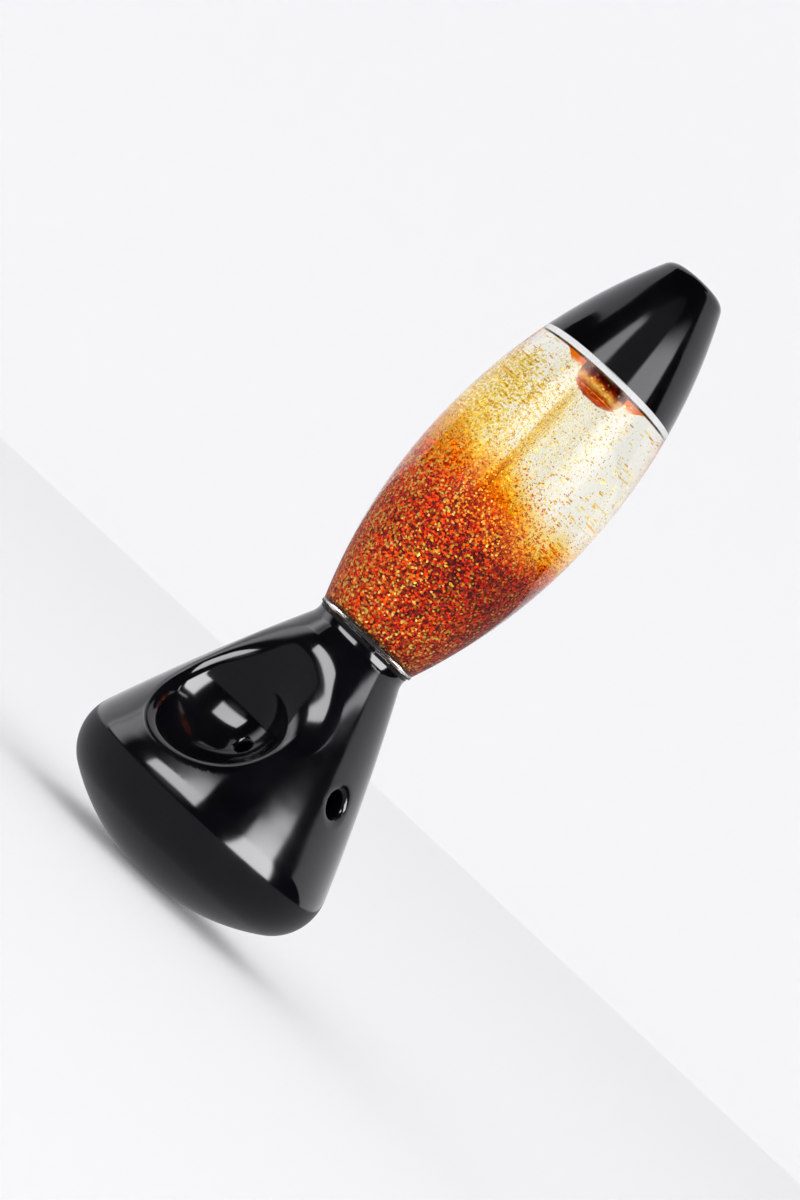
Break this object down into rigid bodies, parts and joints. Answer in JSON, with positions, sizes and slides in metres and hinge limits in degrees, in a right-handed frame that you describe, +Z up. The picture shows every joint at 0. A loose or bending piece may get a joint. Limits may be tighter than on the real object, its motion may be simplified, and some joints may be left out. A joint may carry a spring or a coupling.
{
  "type": "glass hand pipe",
  "caption": "Glass hand pipe shaped like a lava lamp, with a pushed-in bowl, a finger hole and a clear chamber of liquid and glitter round its airway.",
  "frame": {"origin": "centre of the foot, at the bottom of the base", "axes": "+Z up along the airway to the mouthpiece, -Y towards the bowl, +X to the side with the finger hole"},
  "size_m": [0.0474, 0.0474, 0.127],
  "materials": {
    "black_glass": "gloss",
    "clear_glass": "polished",
    "liquid": "gloss",
    "gold_flake": "gloss",
    "copper_flake": "gloss"
  },
  "bodies": {
    "root": {"base_shell": "black_glass", "chamber_floor": "black_glass", "neck_ring": "clear_glass", "chamber_shell": "clear_glass", "airway_tube": "clear_glass", "tube_flare": "clear_glass", "cap_disc": "clear_glass", "mouthpiece": "black_glass", "fill_plug": "clear_glass", "carrier_liquid": "liquid", "gold_glitter": "gold_flake", "copper_glitter": "copper_flake"}
  },
  "joints": []
}
